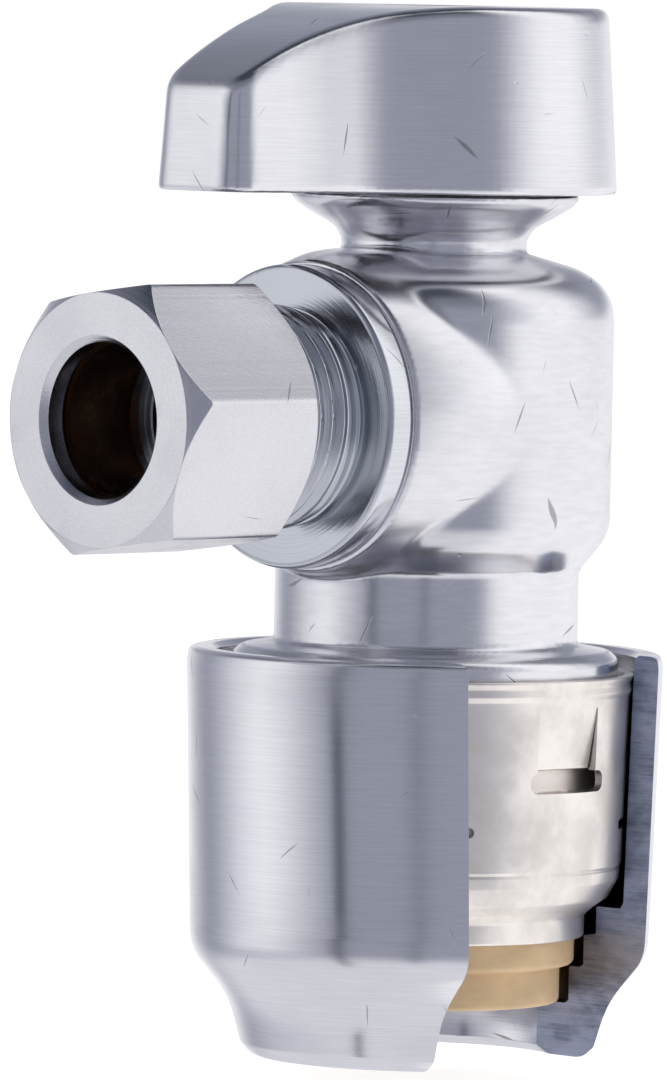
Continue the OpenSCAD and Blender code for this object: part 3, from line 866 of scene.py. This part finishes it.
def steel(name, tint, roughness=0.32, across=5200.0):
    """Dull drawn stainless steel with draw lines."""
    material, n = new_material(name)
    place = n.add("ShaderNodeTexCoord").outputs["Object"]
    lines = brushing(n, place, across, 900.0)
    clouds = n.noise(place, 300.0, 4.0, 0.6)
    marks = scratches(n, place, 3.2, 1.4, 0.03, 0.5)
    height = n.math("ADD", n.math("MULTIPLY", lines, 0.7), n.math("MULTIPLY", clouds, 0.8))
    height = n.math("SUBTRACT", height, n.math("MULTIPLY", marks, 0.8))
    rough = n.ramp(clouds, 0.3, 0.7, roughness - 0.05, roughness + 0.08)
    colour = n.mix(n.ramp(clouds, 0.35, 0.7), (*tint, 1), (*[0.82 * c for c in tint], 1))
    finish_material(n, colour, rough, height, 1.0, bump=0.5, distance=0.012)
    return material


def brass(name, tint, tarnish):
    """Machined brass with tool lines and a little tarnish."""
    material, n = new_material(name)
    place = n.add("ShaderNodeTexCoord").outputs["Object"]
    lines = brushing(n, place, 7000.0, 700.0)
    clouds = n.noise(place, 350.0, 4.0, 0.6)
    colour = n.mix(n.ramp(clouds, 0.4, 0.75, 0.0, tarnish), (*tint, 1), (*[0.45 * c for c in tint], 1))
    rough = n.ramp(clouds, 0.3, 0.7, 0.24, 0.4)
    finish_material(n, colour, rough, lines, 1.0, bump=0.4)
    return material


def plastic(name, tint, roughness=0.45, grain=0.6, flow=0.12, subsurface=0.0):
    """Moulded plastic with a faint grain and flow marks."""
    material, n = new_material(name)
    place = n.add("ShaderNodeTexCoord").outputs["Object"]
    fine = n.noise(place, 5200.0, 2.0)
    clouds = n.noise(n.vector("MULTIPLY", place, (1, 1, 2.5)).outputs[0], 220.0, 4.0, 0.55)
    colour = n.mix(n.ramp(clouds, 0.3, 0.72, 0.0, 1.0), (*[min(1, c * (1 + flow)) for c in tint], 1),
                   (*[c * (1 - flow) for c in tint], 1))
    rough = n.ramp(clouds, 0.3, 0.7, roughness - 0.06, roughness + 0.08)
    height = n.math("ADD", n.math("MULTIPLY", fine, grain), clouds)
    finish_material(n, colour, rough, height, 0.0, bump=0.3, subsurface_weight=subsurface)
    return material


def rubber(name):
    """Black moulded rubber with a fine mould-release bloom."""
    material, n = new_material(name)
    place = n.add("ShaderNodeTexCoord").outputs["Object"]
    fine = n.noise(place, 6000.0, 3.0)
    bloom = n.noise(place, 500.0, 4.0)
    colour = n.mix(n.ramp(bloom, 0.45, 0.8), (0.018, 0.018, 0.02, 1), (0.055, 0.055, 0.06, 1))
    finish_material(n, colour, n.ramp(bloom, 0.3, 0.7, 0.4, 0.6), fine, 0.0, bump=0.3)
    return material


def floor_material():
    material, n = new_material("pale_floor")
    place = n.add("ShaderNodeTexCoord").outputs["Object"]
    tone = n.ramp(n.noise(place, 6.0, 3.0), 0.3, 0.7, 0.58, 0.62)
    colour = n.add("ShaderNodeCombineColor", {"Red": tone, "Green": tone, "Blue": tone}).outputs[0]
    diffuse = n.add("ShaderNodeBsdfDiffuse", {"Color": colour})
    glow = n.add("ShaderNodeEmission", {"Color": (1, 1, 1, 1), "Strength": 0.85})
    both = n.add("ShaderNodeAddShader", {0: diffuse.outputs[0], 1: glow.outputs[0]})
    n.add("ShaderNodeOutputMaterial", {"Surface": both.outputs[0]})
    return material


# ---- Studio ----

VIEW_AZIMUTH = 45.0        # degrees from -Y towards +X


def make_floor():
    """A pale floor, low enough for the sleeve to slide down, and left out of the reflections."""
    half = 3.0
    mesh = bpy.data.meshes.new("floor")
    slide = next(j for j in RECORD["behaviour"]["joints"] if j["name"] == "sleeve_slide")
    z = cad_box[0].z + slide["range_m"][0]
    corners = [(-half, -half, z), (half, -half, z), (half, half, z), (-half, half, z)]
    mesh.from_pydata(corners, [], [(0, 1, 2, 3)])
    mesh.materials.append(floor_material())
    floor = bpy.data.objects.new("floor", mesh)
    bpy.context.scene.collection.objects.link(floor)
    floor.visible_glossy = False


# Soft panels round the object. Azimuths are to the right of the line to the camera, in degrees:
# (azimuth, half width, edge softness, lowest elevation, highest elevation, edge softness, colour)
PANELS = [
    ("right softbox", 87, 31, 46, -38, 84, 22, (1.14, 1.14, 1.16)),
    ("low right softbox", 110, 60, 24, -100, 3, 8, (1.08, 1.08, 1.10)),
    ("left softbox", -86, 24, 48, -18, 36, 22, (1.02, 1.02, 1.05)),
    ("backdrop", 180, 30, 40, -20, 10, 14, (0.95, 0.95, 0.98)),
    ("flag", -42, 2.6, 3.5, -40, 26, 8, (0.02, 0.03, 0.05)),
    ("camera", -2, 3, 8, -30, 20, 10, (0.21, 0.22, 0.28)),
]
ROOM = (0.35, 0.365, 0.44)
CEILING = (0.21, 0.22, 0.27)
ZENITH = (0.05, 0.06, 0.085)
GROUND = (0.82, 0.82, 0.87)


def make_studio():
    world = bpy.data.worlds.new("studio")
    bpy.context.scene.world = world
    world.use_nodes = True
    n = Nodes(world.node_tree)
    direction = n.add("ShaderNodeTexCoord").outputs["Generated"]
    part = n.add("ShaderNodeSeparateXYZ", {0: direction}).outputs
    to_degrees = 360 / TAU
    height = n.math("MULTIPLY", n.math("ARCSINE", part[2]), to_degrees)
    azimuth = n.math("MULTIPLY", n.math("ARCTAN2", part[1], part[0]), to_degrees)
    azimuth = n.math("ADD", azimuth, 90 - VIEW_AZIMUTH)
    colour = n.mix(n.ramp(height, 20, 42), (*ROOM, 1), (*CEILING, 1))
    colour = n.mix(n.ramp(height, 48, 68), colour, (*ZENITH, 1))
    colour = n.mix(n.ramp(height, -12, -35), colour, (*GROUND, 1))
    for _, centre, half, soft, low, high, fade, tint in PANELS:
        off = n.math("WRAP", n.math("SUBTRACT", azimuth, float(centre)), 180.0, -180.0)
        share = n.ramp(n.math("ABSOLUTE", off), half - soft / 2, half + soft / 2, 1.0, 0.0)
        share = n.math("MULTIPLY", share, n.ramp(height, low - fade / 2, low + fade / 2))
        share = n.math("MULTIPLY", share, n.ramp(height, high - fade / 2, high + fade / 2, 1.0, 0.0))
        colour = n.mix(share, colour, (*tint, 1))
    seen = n.add("ShaderNodeLightPath").outputs["Is Camera Ray"]
    colour = n.mix(seen, colour, (1, 1, 1, 1))
    background = n.add("ShaderNodeBackground", {"Color": colour, "Strength": 1.0})
    n.add("ShaderNodeOutputWorld", {"Surface": background.outputs[0]})


def make_camera():
    """A long lens from the front right, a little above the middle of the valve."""
    distance = 0.70
    view_height = 68.9 * MM
    elevation, lean = math.radians(3.05), math.radians(1.2)
    azimuth = math.radians(VIEW_AZIMUTH)
    right = Vector((math.cos(azimuth), math.sin(azimuth), 0))
    aim = Vector((0, 0, 29.2 * MM)) - right * 6.0 * MM
    level = math.cos(elevation)
    back = Vector((math.sin(azimuth) * level, -math.cos(azimuth) * level, math.sin(elevation)))
    up = back.cross(right).normalized()
    tilted_right = right * math.cos(lean) + up * math.sin(lean)
    tilted_up = up * math.cos(lean) - right * math.sin(lean)
    data = bpy.data.cameras.new("camera")
    data.sensor_width = 36
    data.lens = data.sensor_width * distance / view_height
    data.clip_start, data.clip_end = 0.05, 20
    camera = bpy.data.objects.new("camera", data)
    turn = Matrix((tilted_right, tilted_up, back)).transposed().to_4x4()
    camera.matrix_world = Matrix.Translation(aim + back * distance) @ turn
    bpy.context.scene.collection.objects.link(camera)
    bpy.context.scene.camera = camera
    bpy.context.scene.view_settings.view_transform = "Standard"


# ---- Everything together ----

def make_materials():
    """One material for each of the record's slots, by the slot's name."""
    plate = (0.80, 0.80, 0.83)
    machined = (0.72, 0.73, 0.77)
    satin = (0.72, 0.72, 0.75)
    cast = dict(across=3000, along=500, brushed=0.3)
    turned = dict(across=9000, along=5000, brushed=2.8, rings=2.2)
    return {
        "chrome_body": chrome("chrome_body", plate, 0.2, seed=0.11, patch="raw end", **cast),
        # the nipple's flange face and thread get painted shade beside the nut
        "chrome_nipple": chrome(
            "chrome_nipple", machined, 0.16, rings=1.6, seed=0.23, wear=0.5, patch="painted_recess_shade"),
        "chrome_nut": chrome("chrome_nut", satin, 0.22, seed=0.37, wear=0.5, **turned),
        "chrome_handle": chrome("chrome_handle", plate, 0.2, across=13000, brushed=0.8, seed=0.41, wear=0.6),
        # the sleeve's sawn face gets a painted reflection
        "chrome_sleeve": chrome(
            "chrome_sleeve", plate, 0.19, across=11000, brushed=0.8, seed=0.53, wear=0.5, patch="section"),
        "cap_steel": steel("cap_steel", (0.92, 0.87, 0.82), 0.36),
        "collar_plastic": plastic("collar_plastic", (0.60, 0.42, 0.24), 0.42, subsurface=0.05),
        "seal_rubber": rubber("seal_rubber"),
        "seat_plastic": plastic("seat_plastic", (0.85, 0.84, 0.80), 0.35, flow=0.03, subsurface=0.1),
        "ball_chrome": chrome("ball_chrome", (0.82, 0.83, 0.85), 0.08, brushed=0.15, seed=0.61),
        "stem_brass": brass("stem_brass", (0.70, 0.52, 0.24), 0.35),
        "ferrule_brass": brass("ferrule_brass", (0.20, 0.11, 0.06), 0.6),
        "screw_steel": steel("screw_steel", (0.62, 0.62, 0.65), 0.28),
        "spring_steel": steel("spring_steel", (0.66, 0.66, 0.68), 0.24),
        "protector_plastic": plastic(
            "protector_plastic", (0.72, 0.72, 0.68), 0.4, flow=0.05, subsurface=0.05),
        "holder_plastic": plastic("holder_plastic", (0.075, 0.08, 0.09), 0.5),
    }


def paint_cad_nodes(materials):
    """Every CAD node that stays gets its slot's material."""
    for part in RECORD["subparts"]:
        mesh = frame["nodes"][part["node"]].data
        mesh.materials.clear()
        mesh.materials.append(materials[part["material_slot"]])


materials = make_materials()
paint_cad_nodes(materials)
make_camera()
make_studio()
make_floor()
make_body(materials["chrome_body"])
make_handle(materials["chrome_handle"])
make_nipple(materials["chrome_nipple"])
make_nut(materials["chrome_nut"])
make_cap(materials["cap_steel"])
make_collar(materials["collar_plastic"])
make_sleeve(materials["chrome_sleeve"])
